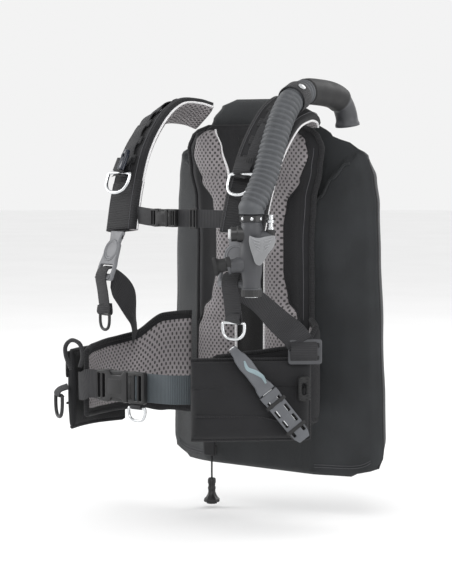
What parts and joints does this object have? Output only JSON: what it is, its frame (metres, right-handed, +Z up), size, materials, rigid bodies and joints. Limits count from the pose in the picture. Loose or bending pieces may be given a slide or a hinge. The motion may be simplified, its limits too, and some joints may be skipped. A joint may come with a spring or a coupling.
{
  "type": "buoyancy compensator vest",
  "caption": "padded diving harness with a rear air cell, cylinder band, shoulder and waist webbing, corrugated inflator hose, pockets, metal rings and a sheathed knife",
  "frame": {"origin": "centre of the tank pad's flat rear face, where the diving cylinder stands against the vest", "axes": "+X to the wearer's left, +Y to the rear towards the cylinder, +Z up along the spine"},
  "size_m": [0.401, 0.4405, 0.6127],
  "materials": {
    "bladder_nylon": "matte woven nylon",
    "black_fabric": "matte woven nylon with edge binding",
    "grey_mesh": "open spacer mesh over foam",
    "webbing": "flat woven webbing",
    "black_plastic": "moulded, fine grain",
    "grey_plastic": "moulded acetal, satin",
    "pale_plastic": "moulded, satin",
    "hose_rubber": "satin rubber",
    "steel": "polished stainless steel",
    "whistle_plastic": "glossy moulded"
  },
  "bodies": {
    "harness": {"air_cell": "bladder_nylon", "back_pad": "grey_mesh", "back_plate": "black_plastic", "cam_buckle_base": "black_plastic", "carry_handle": "black_plastic", "corrugated_hose": "hose_rubber", "dump_cord_guide": "black_fabric", "dump_valve": "black_plastic", "grab_loop": "webbing", "hose_elbow": "grey_plastic", "hose_keeper": "black_fabric", "inflator_body": "hose_rubber", "knife_sheath": "grey_plastic", "ladder_lock": "black_plastic", "left_buckle_disc": "grey_plastic", "left_lower_webbing": "webbing", "left_pocket": "black_fabric", "left_shoulder_strap": "black_fabric", "left_sternum_webbing": "webbing", "left_strap_webbing": "webbing", "left_waist_webbing": "webbing", "left_waist_wing": "grey_mesh", "mouthpiece": "black_plastic", "pouch_handle": "black_plastic", "quick_connector": "steel", "relief_valve": "black_plastic", "right_buckle_disc": "grey_plastic", "right_lower_webbing": "webbing", "right_pocket": "black_fabric", "right_shoulder_strap": "black_fabric", "right_sternum_webbing": "webbing", "right_strap_webbing": "webbing", "right_waist_webbing": "webbing", "right_waist_wing": "grey_mesh", "sternum_buckle_socket": "grey_plastic", "tank_band": "webbing", "tank_pad": "black_plastic", "waist_buckle_socket": "grey_plastic", "whistle": "whistle_plastic"},
    "lever": {"inflate_lever": "pale_plastic"},
    "button": {"deflate_button": "pale_plastic"},
    "dump_pull": {"dump_cord": "webbing", "dump_knob": "black_plastic"},
    "left_ring": {"left_shoulder_ring": "steel"},
    "right_ring": {"right_shoulder_ring": "steel"},
    "left_frame": {"left_buckle_frame": "grey_plastic", "left_pull_webbing": "webbing"},
    "right_frame": {"right_buckle_frame": "grey_plastic", "right_pull_webbing": "webbing"},
    "left_pull": {"left_pull_ring": "black_plastic"},
    "right_pull": {"right_pull_ring": "black_plastic"},
    "waist_d": {"waist_ring": "steel"},
    "utility_d": {"utility_ring": "black_plastic"},
    "knife_body": {"knife": "grey_plastic"},
    "waist_plug": {"waist_buckle_plug": "grey_plastic"},
    "sternum_plug": {"sternum_buckle_plug": "grey_plastic"},
    "cam_lever": {"cam_buckle_lever": "black_plastic"}
  },
  "joints": [
    {"name": "inflate_lever_press", "type": "hinge", "parent": "harness", "child": "lever", "pos_m": [0.16675, -0.24577, 0.036], "axis": [0.7659, 0.6429, 0], "range_deg": [0, 6], "stiffness_Nm_per_rad": 0.3, "springref_deg": -5.73},
    {"name": "deflate_button_press", "type": "slide", "parent": "harness", "child": "button", "axis": [0.7659, 0.6429, 0], "range_m": [0, 0.003], "stiffness_N_per_m": 300, "springref_m": -0.002},
    {"name": "dump_pull_slide", "type": "slide", "parent": "harness", "child": "dump_pull", "axis": [0, 0, -1], "range_m": [0, 0.015], "stiffness_N_per_m": 80, "springref_m": -0.02},
    {"name": "left_shoulder_ring_swing", "type": "hinge", "parent": "harness", "child": "left_ring", "pos_m": [0.10597, -0.19084, 0.11727], "axis": [-0.9651, -0.242, 0.1], "range_deg": [0, 54]},
    {"name": "left_buckle_swivel", "type": "hinge", "parent": "harness", "child": "left_frame", "pos_m": [0.112, -0.212, 0.008], "axis": [0.2398, -0.9094, 0.3398], "range_deg": [-10, 3]},
    {"name": "left_pull_ring_swing", "type": "hinge", "parent": "left_frame", "child": "left_pull", "pos_m": [0.11699, -0.22289, -0.07941], "axis": [-0.9707, -0.2402, 0], "range_deg": [-45, 45]},
    {"name": "right_shoulder_ring_swing", "type": "hinge", "parent": "harness", "child": "right_ring", "pos_m": [-0.11647, -0.19084, 0.11727], "axis": [-0.9651, 0.242, -0.1], "range_deg": [0, 60]},
    {"name": "right_buckle_swivel", "type": "hinge", "parent": "harness", "child": "right_frame", "pos_m": [-0.112, -0.212, 0.008], "axis": [-0.2398, -0.9094, 0.3398], "range_deg": [-10, 10]},
    {"name": "right_pull_ring_swing", "type": "hinge", "parent": "right_frame", "child": "right_pull", "pos_m": [-0.11699, -0.22289, -0.07941], "axis": [-0.9707, 0.2402, 0], "range_deg": [-45, 45]},
    {"name": "waist_ring_swing", "type": "hinge", "parent": "harness", "child": "waist_d", "pos_m": [-0.043, -0.238, -0.2035], "axis": [1, 0, 0], "range_deg": [-60, 60]},
    {"name": "utility_ring_swing", "type": "hinge", "parent": "harness", "child": "utility_d", "pos_m": [-0.1905, -0.24, -0.196], "axis": [-0.8924, 0.4512, 0], "range_deg": [-3, 60]},
    {"name": "knife_draw", "type": "slide", "parent": "harness", "child": "knife_body", "axis": [-0.426, -0.4531, 0.7831], "range_m": [0, 0.09]},
    {"name": "waist_buckle_release", "type": "slide", "parent": "harness", "child": "waist_plug", "axis": [1, 0, 0], "range_m": [0, 0.03]},
    {"name": "sternum_buckle_release", "type": "slide", "parent": "harness", "child": "sternum_plug", "axis": [1, 0, 0], "range_m": [0, 0.016]},
    {"name": "cam_lever_open", "type": "hinge", "parent": "harness", "child": "cam_lever", "pos_m": [0.06103, 0.17118, 0.03], "axis": [0, 0, 1], "range_deg": [0, 110]}
  ]
}
